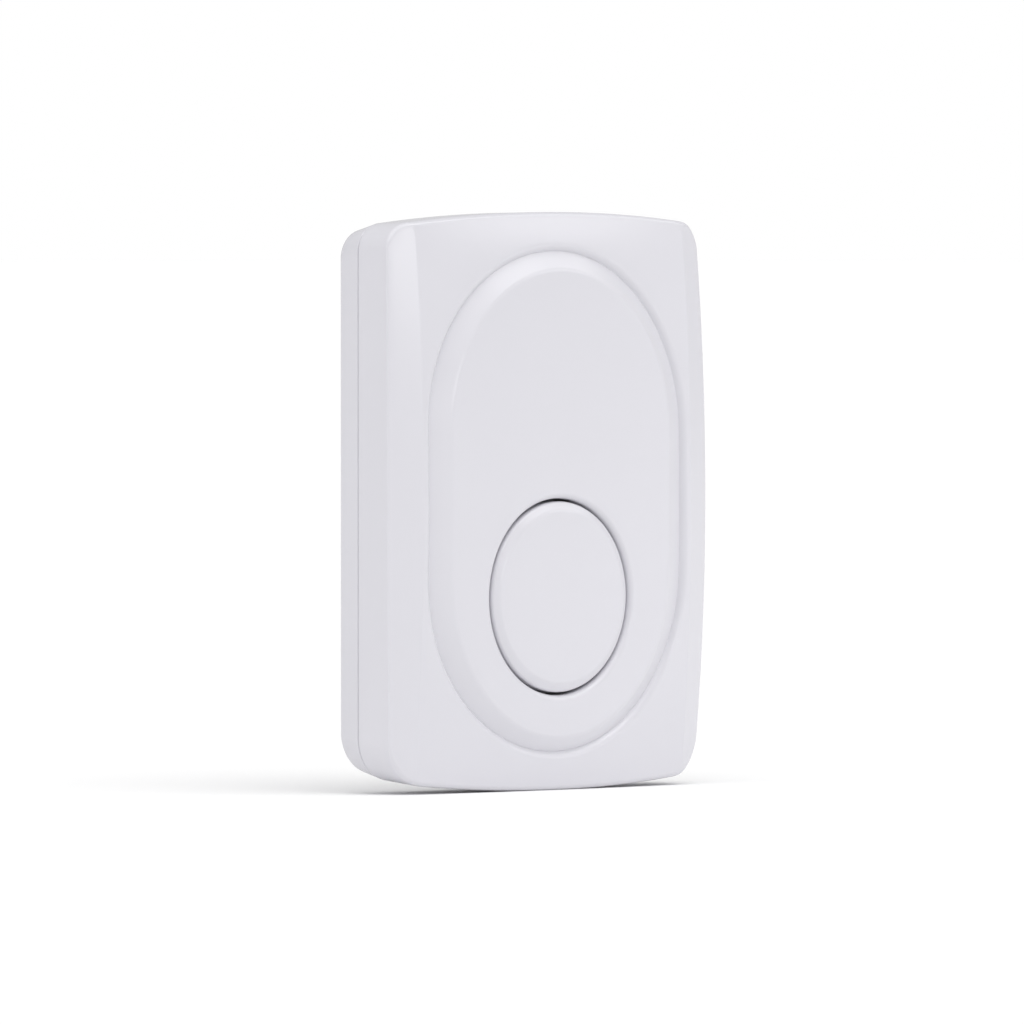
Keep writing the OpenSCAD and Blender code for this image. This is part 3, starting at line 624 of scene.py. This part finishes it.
def face_depth(case, flat):
    """Front surface without its panel: a face that falls back at its corners, and sloping strips.

    The face is face_depth less face_droop times the squares of x and z, each over its half size,
    and less end_roll times the tenth power of z, which fades out towards the strips. Past the
    strip line the face goes on straight, and a ramp of the difference in slope turns it into the
    strip.
    """
    half = case.width / 2 - case.strip_width
    lift = np.abs(flat[..., 1]) / (case.height / 2)
    fall = case.face_droop * lift ** 2
    across = np.abs(flat[..., 0])
    inside = np.minimum(across, half)
    roll = case.end_roll * lift ** END_ROLL_POWER
    face = case.face_depth - roll - (fall - roll) * (inside / half) ** 2
    face_slope = 2 * (fall - roll) / half
    strip_fall = case.face_depth - fall - case.strip_start + case.strip_droop * lift ** 2
    strip_slope = strip_fall / case.strip_width
    beyond = across - half
    turned = (strip_slope - face_slope) * ramp(beyond, case.crease)
    return face - face_slope * np.maximum(beyond, 0) - turned


def on_face(case, flat, sink=0):
    """Points in X and Z laid on the front surface, or sunk below it."""
    return placed(flat, face_depth(case, flat) - sink)


def edge_radius(case, inward):
    """Radius of the front edge at each point of the outline.

    It goes from edge_mid to edge_side with the square of the sideways part of the inward
    direction, and is drawn to edge_corner where that direction is halfway.
    """
    sideways = np.abs(inward[:, :1]) / np.linalg.norm(inward, axis=1, keepdims=True)
    corner_share = 4 * sideways ** 2 * (1 - sideways ** 2)
    plain = case.edge_mid + (case.edge_side - case.edge_mid) * sideways ** 2
    return plain + (case.edge_corner - plain) * corner_share


def side_rings(case, outer, inward, edge):
    """Rings up the front cover's side: the shadow gap, the rim, the wall and the front edge.

    The rim and the front edge are quarter circles, and the wall runs straight between them.
    """
    base = case_outline(case, 0)
    mouth = case.parting + case.gap
    recess = base + inward * case.gap_depth
    rim = [placed(recess, case.parting), placed(recess, mouth)]
    rim += [placed(base + inward * case.rim * fall, mouth + case.rim * rise)
            for fall, rise in quarter_arc(RIM_STEPS)]
    wall = between(rim[-1], on_face(case, outer, edge[:, 0]), WALL_STEPS)
    rounding = [on_face(case, outer + inward * edge * rise, edge[:, 0] * fall)
                for fall, rise in quarter_arc(ARC_STEPS)[1:]]
    return [*rim, *wall, *rounding]


def face_rings(case, start, stop):
    """Rings over the strip, the crease and the face, in to the valley, gathered along the crease.

    Each point goes straight from the front edge to the valley. The rings lie close together from
    a little before the strip line to a little behind it.
    """
    half = case.width / 2 - case.strip_width
    run = np.maximum(np.abs(start[:, 0]) - np.abs(stop[:, 0]), LEAST_RUN)
    crossing = (np.abs(start[:, 0]) - half) / run
    reach = CREASE_REACH * case.crease / run
    low = np.clip(crossing - reach, *FIRST_SHARES)
    high = np.clip(crossing + reach, low + LEAST_GATHER, LAST_SHARE)
    share = np.concatenate([
        shares(STRIP_STEPS)[:, None] * low,
        low + shares(CREASE_STEPS)[:, None] * (high - low),
        high + shares(FACE_STEPS)[:, None] * (1 - high),
    ])
    return on_face(case, start + (stop - start) * share[..., None])


def panel_rings(case, panel, axis, out):
    """Rings of the valley around the panel and of the panel's bevel.

    The valley is the face less a parabola that is deepest at the panel's foot. The bevel is
    straight from the foot to the panel's flat, with a rounded crease at its top. Its width goes
    from bevel_side to the width at the end with the square of the upward part of the direction.
    """
    radius = panel.width / 2
    away = np.linspace(1, 0, VALLEY_STEPS + 1)[1:, None, None]
    sink = panel.valley_depth * (1 - away[..., 0]) ** 2
    valley = on_face(case, axis + (radius + panel.valley * away) * out, sink)

    foot = face_depth(case, axis + radius * out) - panel.valley_depth
    end_width = np.where(out[:, 1] > 0, panel.bevel_top, panel.bevel_bottom)
    width = panel.bevel_side + (end_width - panel.bevel_side) * out[:, 1] ** 2
    soft = panel.bevel_crease
    share = shares(BEVEL_STEPS)[:, None]
    inside = np.concatenate([(width - soft) * share, width - soft + 2 * soft * share])
    rise = (panel.top - foot) / width * ramp(width - inside, soft)
    bevel = placed(axis + (radius - inside[..., None]) * out, panel.top - rise)
    return [*valley, *bevel]


def hole_rings(panel, button, start):
    """Rings over the panel's flat into the button hole: the flat, a quarter circle and the wall."""
    middle = np.array([0, button.centre])
    spoke = unit(start[:, [X, Z]] - middle)
    radius, edge = button.diameter / 2 + panel.hole_gap, panel.hole_edge
    level = between(start, placed(middle + spoke * (radius + edge), panel.top), LEVEL_STEPS)
    lip = [placed(middle + spoke * (radius + edge * fall), panel.top - edge * rise)
           for fall, rise in quarter_arc(ARC_STEPS)[1:]]
    end = placed(middle + spoke * radius, panel.top - panel.thickness)
    return [*level, *lip, *between(lip[-1], end, BORE_STEPS)]


def inside_rings(case, panel, axis, out, start):
    """Rings back inside: under the panel, a step to under the face, and the inner wall."""
    line = axis + (panel.width / 2 - panel.bevel_side) * out
    inner = case_outline(case, case.wall)
    under = between(start, placed(line, panel.top - panel.thickness), UNDER_STEPS)
    back = on_face(case, np.concatenate([line[None], between(line, inner, BACK_STEPS)]), case.wall)
    return [*under, *back, placed(inner, case.parting)]


def front_rings(case, panel, button):
    """Rings of the front cover, from its rim up the side, over the front and back inside.

    Each ring has one point on each spoke. A spoke goes from the nearest point of the panel's
    middle line out to the case outline.
    """
    outer = case_outline(case, 0, front=1)
    reach = case.edge_corner
    inward = (case_outline(case, reach, front=1) - outer) / reach
    edge = edge_radius(case, inward)
    half_line = panel.height / 2 - panel.width / 2
    axis = np.stack([np.zeros(len(outer)), np.clip(outer[:, 1], -half_line, half_line)], 1)
    out = unit(outer - axis)
    valley_line = axis + (panel.width / 2 + panel.valley) * out
    rings = side_rings(case, outer, inward, edge)
    rings += [*face_rings(case, outer + inward * edge, valley_line)]
    rings += panel_rings(case, panel, axis, out)
    rings += hole_rings(panel, button, rings[-1])
    rings += inside_rings(case, panel, axis, out, rings[-1])
    return np.array(rings)


class BELLPUSH_OT_front_cover(Operator):
    """Makes the front cover with its sloping strips, raised panel and button hole"""
    bl_idname = "bellpush.front_cover"
    bl_label = "Front Cover"

    def execute(self, context):
        data = settings()
        rings = front_rings(data.case, data.panel, data.button)
        piece = rings_mesh("front_cover_shell", [(rings, True)])
        finish_piece(piece, "case", "case_plastic", "front_cover")
        return {"FINISHED"}


def rear_walls(case, rear):
    """Rings of the rear cover's wall, from inside its floor over lip and seam to the rear face.

    Each ring is the case outline at an inset and a depth: up the lip, down to the rim, round the
    gasket groove, over the seam edge, down the side and round the rear edge. From the seam on, the
    outline shrinks towards the rear.
    """
    lip_in = case.wall + rear.lip_gap
    groove = GASKET_REAR * MM
    seam = [(rear.step + rear.seam_edge * fall, case.parting - rear.seam_edge * rise)
            for fall, rise in quarter_arc(SEAM_STEPS)]
    back = [(rear.step + rear.edge * rise, rear.edge * fall)
            for fall, rise in quarter_arc(REAR_ARC_STEPS)]
    hidden = [
        (lip_in + rear.lip, rear.floor), (lip_in + rear.lip, rear.lip_top),
        (lip_in, rear.lip_top), (lip_in, case.parting),
        (rear.groove_in, case.parting), (rear.groove_in, groove),
        (rear.groove_out, groove), (rear.groove_out, case.parting),
    ]
    lean = np.array([rear.inset / (case.width / 2), rear.end_inset / (case.height / 2)])
    rings = [placed(case_outline(case, inset), depth) for inset, depth in hidden]
    for inset, depth in seam + back:
        shrink = 1 - lean * (1 - depth / case.parting)
        rings.append(placed(case_outline(case, inset) * shrink, depth))
    return np.array(rings)


def rear_floor(rear, outside, inside):
    """Both halves of the floor: each runs from its half outline in to its hole, through, and back.

    The half outline is closed along the middle line. Straight spokes run from it to the circle of
    the wall-screw hole.
    """
    quarter = len(outside) // 4
    radius = rear.hole / 2
    rims = ((radius + rear.hole_edge, 0), (radius, rear.hole_edge), (radius, rear.floor))
    parts = []
    for side in (1, -1):
        loops = []
        for ring in (outside, inside):
            upper = np.concatenate([ring[3 * quarter:], ring[:quarter + 1]])
            half = upper if side > 0 else ring[quarter:3 * quarter + 1]
            chord = half[-1] + (half[0] - half[-1]) * shares(CHORD_STEPS)[:-1, None]
            loops.append(np.concatenate([half, chord]))
        middle = np.array([0, 0, side * rear.hole_pitch / 2])
        spoke = unit((loops[0] - middle) * [1, 0, 1])
        hole = [middle + spoke * reach + np.array([0, -depth, 0]) for reach, depth in rims]
        parts.append((np.concatenate([
            loops[0][None], between(loops[0], hole[0], FLOOR_STEPS),
            np.array(hole[1:]), between(hole[2], loops[1], FLOOR_STEPS),
        ]), False))
    return parts


def inside_spring(button, pegs):
    """Radius of a peg or boss that fits inside a spring."""
    return button.spring / 2 - button.spring_wire - pegs.play


def rear_pegs(rear, button, pegs):
    """Pegs on the floor: under the screws, inside the springs and as stops under the flange."""
    head = pegs.screw_head
    low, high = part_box("generator_screws")
    spots = [(low[X] + head, high[Z] - head, pegs.generator, pegs.generator_top),
             (high[X] - head, low[Z] + head, pegs.generator, pegs.generator_top)]
    low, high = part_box("board_screws")
    spots += [(x, high[Z] - head, pegs.board, pegs.board_top)
              for x in (low[X] + head, high[X] - head)]
    spots += [(side * button.spring_reach, button.centre, inside_spring(button, pegs),
               rear.floor + pegs.spring_height) for side in (-1, 1)]
    ring = (button.diameter / 2 - button.skirt / 2 + button.flange) / 2
    stop_top = button.flange_top - button.flange_thickness - pegs.stop_gap
    spots += [(ring * math.cos(turn), button.centre + ring * math.sin(turn), pegs.stop, stop_top)
              for turn in np.radians(STOP_ANGLES)]
    sunk = rear.floor - pegs.root
    return [peg(x, z, radius, sunk, top) for x, z, radius, top in spots]


class BELLPUSH_OT_rear_cover(Operator):
    """Makes the thin rear cover with its lip, wall-screw holes and inside pegs"""
    bl_idname = "bellpush.rear_cover"
    bl_label = "Rear Cover"

    def execute(self, context):
        data = settings()
        walls = rear_walls(data.case, data.rear)
        parts = [(walls, False), *rear_floor(data.rear, walls[-1], walls[0])]
        parts += rear_pegs(data.rear, data.button, data.pegs)
        piece = rings_mesh("rear_cover_shell", parts)
        finish_piece(piece, "case", "case_plastic", "rear_cover")
        return {"FINISHED"}


def button_profile(button):
    """Half section of the button as radius and depth: flat, bevel, edge, skirt, flange and post.

    The bevel is a straight line that a parabola joins to the flat, and an arc tangent to it turns
    into the skirt.
    """
    radius = button.diameter / 2
    slope = math.atan2(button.bevel_height, button.bevel)
    start, soft = radius - button.bevel, button.edge / 2
    turn = np.linspace(math.pi / 2 - slope, 0, ARC_STEPS + 1)
    reach = radius - button.edge + button.edge * np.cos(turn)
    middle = (button.top - math.tan(slope) * (reach[0] - start)
              - button.edge * math.cos(slope))
    edge = np.stack([reach, middle + button.edge * np.sin(turn)], 1)
    run = np.linspace(start - soft, reach[0], BUTTON_BEVEL_STEPS + 1)[:-1]
    bevel = np.stack([run, button.top - math.tan(slope) * ramp(run - start, soft)], 1)
    level = np.linspace(0, bevel[0, 0], BUTTON_FLAT_STEPS + 1)[:-1]
    flat = np.stack([level, np.full_like(level, button.top)], 1)
    inner = radius - button.skirt
    flange_low = button.flange_top - button.flange_thickness
    under = button.top - button.cap
    post = button.post / 2
    rest = np.array([
        [radius, button.flange_top], [button.flange, button.flange_top],
        [button.flange, flange_low], [inner, flange_low], [inner, under],
        [post, under], [post, button.post_end], [0, button.post_end],
    ])
    return np.concatenate([flat, bevel, edge, rest]) * [1, -1]


class BELLPUSH_OT_push_button(Operator):
    """Makes the round button with its bevel, flange, post and spring bosses"""
    bl_idname = "bellpush.push_button"
    bl_label = "Push Button"

    def execute(self, context):
        data = settings()
        button, pegs = data.button, data.pegs
        under = button.top - button.cap
        rings = revolved(button_profile(button), (0, 0, button.centre), BUTTON_SIDES)
        parts = [(rings, False)]
        parts += [peg(side * button.spring_reach, button.centre, inside_spring(button, pegs),
                      under - button.boss, under + pegs.root) for side in (-1, 1)]
        piece = rings_mesh("push_button_cap", parts)
        finish_piece(piece, "button", "button_plastic", "push_button")
        return {"FINISHED"}


class BELLPUSH_OT_button_springs(Operator):
    """Makes the two coil springs that return the button"""
    bl_idname = "bellpush.button_springs"
    bl_label = "Button Springs"

    def execute(self, context):
        data = settings()
        button, rear = data.button, data.rear
        wire = button.spring_wire / 2
        low, high = rear.floor + wire, button.top - button.cap - wire
        path = helix(button.spring / 2 - wire, low, high, SPRING_TURNS, SPRING_CLOSED)
        parts = []
        for side in (-1, 1):
            coil = np.stack([side * button.spring_reach + path[:, X], -path[:, Z],
                             button.centre + path[:, Y]], 1)
            parts.append(tube(coil, wire, np.array([0, 1.0, 0])))
        piece = rings_mesh("button_spring_coils", parts)
        finish_piece(piece, "case", "spring_steel", "button_springs")
        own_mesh(piece)
        return {"FINISHED"}


class BELLPUSH_OT_wires(Operator):
    """Makes the antenna coil and the two leads from the generator to the board"""
    bl_idname = "bellpush.wires"
    bl_label = "Antenna and Leads"

    def execute(self, context):
        wires = settings().wires
        sideways = np.array([1.0, 0, 0])
        low, high = np.array(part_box("antenna_coil"))
        wire = wires.antenna
        middle = (low + high) / 2
        radius = (high[Z] - low[Z]) / 2 - wire
        path = helix(radius, low[X] + wire, high[X] - wire, ANTENNA_TURNS, 0.0)
        coil = np.stack([path[:, Z], middle[Y] + path[:, X], middle[Z] + path[:, Y]], 1)
        piece = rings_mesh("antenna_coil_wire", [tube(coil, wire, sideways)])
        finish_piece(piece, "case", "copper_wire", "antenna_coil")

        low, high = np.array(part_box("coil_leads"))
        wire = wires.lead
        share = np.linspace(0, 1, LEAD_STEPS + 1)
        board = -span("circuit_board", Y)[0]
        pin = -sum(span("terminal_pins", Y)) / 2
        # Each lead runs from pin to board as a parabola, with a slight bow
        bow = wires.lead_bow * np.sin(math.pi * share)
        depth = pin + (board - pin) * share ** 2 + bow
        height = low[Z] + (high[Z] - low[Z] - wire) * share
        parts = [tube(np.stack([np.full_like(share, x), -depth, height], 1), wire, sideways)
                 for x in (low[X] + wire, high[X] - wire)]
        piece = rings_mesh("coil_lead_wires", parts)
        finish_piece(piece, "case", "lead_plastic", "coil_leads")
        return {"FINISHED"}


class BELLPUSH_OT_coil_winding(Operator):
    """Makes the coil winding with its turns of wire side by side"""
    bl_idname = "bellpush.coil_winding"
    bl_label = "Coil Winding"

    def execute(self, context):
        wires = settings().wires
        low, high = np.array(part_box("coil_winding"))
        outer = (high[X] - low[X]) / 2
        tall = high[Z] - low[Z]
        turns = round(tall / wires.winding)
        # Each turn bulges out by half the spacing, as the root of a sine
        along = np.linspace(0, 1, turns * TURN_STEPS + 1)
        bulge = np.abs(np.sin(math.pi * along * turns))
        radius = outer - wires.winding / 2 * (1 - np.sqrt(bulge))
        profile = np.concatenate([
            np.array([[wires.winding_bore, low[Z]]]),
            np.stack([radius, low[Z] + tall * along], 1),
            np.array([[wires.winding_bore, high[Z]]]),
        ])
        middle = ((low[X] + high[X]) / 2, (low[Y] + high[Y]) / 2, 0)
        rings = revolved(profile, middle, WINDING_SIDES, "Z")
        piece = rings_mesh("coil_winding_turns", [(rings, True)])
        finish_piece(piece, "case", "copper_wire", "coil_winding")
        return {"FINISHED"}


class BELLPUSH_OT_inner_finishes(Operator):
    """Gives each CAD piece inside the case the finish of its record slot"""
    bl_idname = "bellpush.inner_finishes"
    bl_label = "Inner Finishes"

    def execute(self, context):
        for part in frame["record"]["subparts"]:
            if part["material_slot"] in FINISHES:
                mesh = frame["nodes"][part["node"]].data
                mesh.materials.clear()
                mesh.materials.append(finish(part["material_slot"]))
        return {"FINISHED"}


def direction(turn, lift):
    """Direction from the case at an azimuth from straight in front and an elevation."""
    level = math.cos(lift)
    return Vector((math.sin(turn) * level, -math.cos(turn) * level, math.sin(lift)))


def soft_light(name, kind, energy, place, **shape):
    """A light of some kind and shape that faces the middle of the case."""
    lamp = bpy.data.lights.new(name, kind)
    lamp.energy = energy
    for key, value in shape.items():
        setattr(lamp, key, value)
    holder = bpy.data.objects.new(name, lamp)
    holder.location = place
    holder.rotation_euler = (-Vector(place)).to_track_quat("-Z", "Y").to_euler()
    bpy.context.scene.collection.objects.link(holder)
    return holder


def soft_panel(name, energy, place, wide, tall, unseen):
    """A rectangular light that the camera does not see, nor one other kind of ray."""
    lamp = soft_light(name, "AREA", energy, place, shape="RECTANGLE", size=wide, size_y=tall)
    lamp.visible_camera = False
    setattr(lamp, unseen, False)


def gloss_panel(name, shine, azimuths, elevations):
    """A softbox that only shows in the gloss, as a bright panel that the moulded surfaces mirror.

    It fills a range of azimuths and a range of elevations, in degrees, as seen from the case.
    """
    turn, lift = math.radians(sum(azimuths) / 2), math.radians(sum(elevations) / 2)
    half_turn = math.radians(azimuths[1] - azimuths[0]) / 2
    half_lift = math.radians(elevations[1] - elevations[0]) / 2
    wide = 2 * PANEL_DISTANCE * math.tan(half_turn) * math.cos(lift)
    tall = 2 * PANEL_DISTANCE * math.tan(half_lift)
    energy = shine * math.pi * wide * tall
    place = direction(turn, lift) * PANEL_DISTANCE
    soft_panel(name, energy, place, wide, tall, "visible_diffuse")


def lay_floor(scene, tone):
    """A wide level floor under the case."""
    ground = CAD_BOX[0][Z]
    corners = [(x * FLOOR_REACH, y * FLOOR_REACH, ground)
               for x, y in ((-1, -1), (1, -1), (1, 1), (-1, 1))]
    mesh = bpy.data.meshes.new("floor")
    mesh.from_pydata(corners, [], [(0, 1, 2, 3)])
    floor = bpy.data.objects.new("floor", mesh)
    scene.collection.objects.link(floor)
    # Matt white paper: even and bright
    mesh.materials.append(two_tone("matt white paper", (tone, tone), patch_mm=200,
                                   rough=(0.85, 0.95), grain_mm=2, relief_mm=0.0))


def light_world(scene, sky):
    """A white surround: full white to the camera, and the sky's strength to everything else."""
    world = bpy.data.worlds.new("white studio")
    world.use_nodes = True
    tree = world.node_tree
    tree.nodes.clear()
    seen = add(tree, "ShaderNodeLightPath").outputs["Is Camera Ray"]
    strength = add(tree, "ShaderNodeMapRange", {"To Min": sky, "To Max": 1.0}, {"Value": seen})
    glow = add(tree, "ShaderNodeBackground", {"Color": (1, 1, 1, 1)},
               {"Strength": strength.outputs["Result"]})
    add(tree, "ShaderNodeOutputWorld", links={"Surface": glow.outputs["Background"]})
    scene.world = world
    scene.view_settings.view_transform = "Standard"


def set_camera(scene, stage):
    """A long lens at the photograph's angle, aimed beside the middle of the case."""
    back = direction(stage.azimuth, stage.elevation)
    right = Vector((math.cos(stage.azimuth), math.sin(stage.azimuth), 0))
    up = back.cross(right)
    aim = Vector((0, -stage.aim_depth, 0)) + right * stage.aim_right + up * stage.aim_up
    lens = bpy.data.cameras.new("camera")
    lens.lens = stage.lens
    lens.sensor_width = SENSOR_MM
    lens.clip_end = CLIP_END
    camera = bpy.data.objects.new("camera", lens)
    camera.location = aim + back * stage.distance
    camera.rotation_euler = (-back).to_track_quat("-Z", "Y").to_euler()
    scene.collection.objects.link(camera)
    scene.camera = camera


class BELLPUSH_OT_stage(Operator):
    """Sets up the white floor, the soft light and the camera at the photograph's angle"""
    bl_idname = "bellpush.stage"
    bl_label = "Stage"

    def execute(self, context):
        data = settings()
        stage = data.stage
        lay_floor(context.scene, data.colours.floor)
        light_world(context.scene, stage.sky)
        soft_light("key light", "SUN", stage.key_strength, KEY_PLACE, angle=stage.key_spread)
        for lamp in FILL_LAMPS:
            soft_panel(*lamp, "visible_glossy")
        for panel in GLOSS_PANELS:
            gloss_panel(*panel)
        set_camera(context.scene, stage)
        return {"FINISHED"}


STEPS = (BELLPUSH_OT_front_cover, BELLPUSH_OT_rear_cover, BELLPUSH_OT_push_button,
         BELLPUSH_OT_button_springs, BELLPUSH_OT_wires, BELLPUSH_OT_coil_winding,
         BELLPUSH_OT_inner_finishes, BELLPUSH_OT_stage)


class BELLPUSH_PT_panel(Panel):
    """Lists the steps that make the bell push"""
    bl_idname = "BELLPUSH_PT_panel"
    bl_label = "Bell Push"
    bl_space_type = "VIEW_3D"
    bl_region_type = "UI"
    bl_category = "Bell Push"

    def draw(self, context):
        for step in STEPS:
            self.layout.operator(step.bl_idname)


CLASSES = (CaseSizes, PanelSizes, RearSizes, PegSizes, ButtonSizes, WireSizes, Colours, StageSizes,
           BellPush, *STEPS, BELLPUSH_PT_panel)


def register():
    for item in CLASSES:
        bpy.utils.register_class(item)
    bpy.types.Scene.bell_push = PointerProperty(type=BellPush)


def unregister():
    del bpy.types.Scene.bell_push
    for item in reversed(CLASSES):
        bpy.utils.unregister_class(item)


def main():
    """Registers the add-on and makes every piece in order."""
    register()
    bpy.ops.bellpush.front_cover()
    bpy.ops.bellpush.rear_cover()
    bpy.ops.bellpush.push_button()
    bpy.ops.bellpush.button_springs()
    bpy.ops.bellpush.wires()
    bpy.ops.bellpush.coil_winding()
    bpy.ops.bellpush.inner_finishes()
    bpy.ops.bellpush.stage()


if __name__ == "__main__":
    main()
